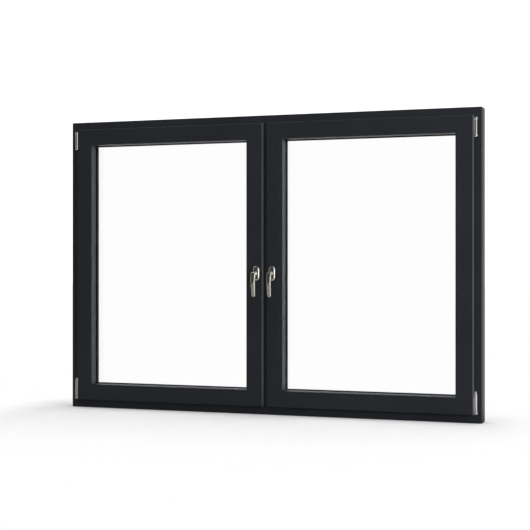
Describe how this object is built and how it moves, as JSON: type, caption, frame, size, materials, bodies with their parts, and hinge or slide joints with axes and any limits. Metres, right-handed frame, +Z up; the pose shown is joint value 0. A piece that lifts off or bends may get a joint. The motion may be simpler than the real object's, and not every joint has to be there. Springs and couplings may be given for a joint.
{
  "type": "two-sash pvc window",
  "caption": "Dark grey welded pvc window with side-hung sashes closed against a fixed mullion, sealed double glazing, clipped beads, surface hinges and turning lever handles",
  "frame": {"origin": "Middle of the sill's underside: half the width across, half the frame depth, on the resting face", "axes": "+X to the right seen from the room, +Y towards the outside (handles face -Y), +Z up"},
  "size_m": [2, 0.1608, 1.385],
  "materials": {
    "frame_pvc": "satin anthracite foil",
    "sash_pvc": "satin anthracite foil",
    "bead_pvc": "satin anthracite foil",
    "clear_glass": "clear float glass",
    "spacer_black": "matt black",
    "seal_rubber": "matt black",
    "hinge_metal": "satin",
    "handle_metal": "satin",
    "cap_plastic": "satin"
  },
  "bodies": {
    "window": {"drain_caps": "cap_plastic", "frame_head": "frame_pvc", "frame_left_jamb": "frame_pvc", "frame_mullion": "frame_pvc", "frame_right_jamb": "frame_pvc", "frame_sill": "frame_pvc", "left_bead_bottom": "bead_pvc", "left_bead_hinge": "bead_pvc", "left_bead_lock": "bead_pvc", "left_bead_top": "bead_pvc", "left_bottom_hinge_bracket": "hinge_metal", "left_bottom_hinge_leaf": "hinge_metal", "left_glass_spacer": "spacer_black", "left_glazing_gaskets": "seal_rubber", "left_handle_rosette": "handle_metal", "left_inner_pane": "clear_glass", "left_outer_pane": "clear_glass", "left_sash_bottom_rail": "sash_pvc", "left_sash_hinge_stile": "sash_pvc", "left_sash_lock_stile": "sash_pvc", "left_sash_seals": "seal_rubber", "left_sash_top_rail": "sash_pvc", "left_top_hinge_bracket": "hinge_metal", "left_top_hinge_leaf": "hinge_metal", "right_bead_bottom": "bead_pvc", "right_bead_hinge": "bead_pvc", "right_bead_lock": "bead_pvc", "right_bead_top": "bead_pvc", "right_bottom_hinge_bracket": "hinge_metal", "right_bottom_hinge_leaf": "hinge_metal", "right_glass_spacer": "spacer_black", "right_glazing_gaskets": "seal_rubber", "right_handle_rosette": "handle_metal", "right_inner_pane": "clear_glass", "right_outer_pane": "clear_glass", "right_sash_bottom_rail": "sash_pvc", "right_sash_hinge_stile": "sash_pvc", "right_sash_lock_stile": "sash_pvc", "right_sash_seals": "seal_rubber", "right_sash_top_rail": "sash_pvc", "right_top_hinge_bracket": "hinge_metal", "right_top_hinge_leaf": "hinge_metal"},
    "left_lever": {"left_handle_lever": "handle_metal"},
    "right_lever": {"right_handle_lever": "handle_metal"}
  },
  "joints": [
    {"name": "left_handle_turn", "type": "hinge", "parent": "window", "child": "left_lever", "pos_m": [-0.0385, -0.059, 0.654], "axis": [0, 1, 0], "range_deg": [0, 180]},
    {"name": "right_handle_turn", "type": "hinge", "parent": "window", "child": "right_lever", "pos_m": [0.0385, -0.059, 0.654], "axis": [0, -1, 0], "range_deg": [0, 180]}
  ]
}
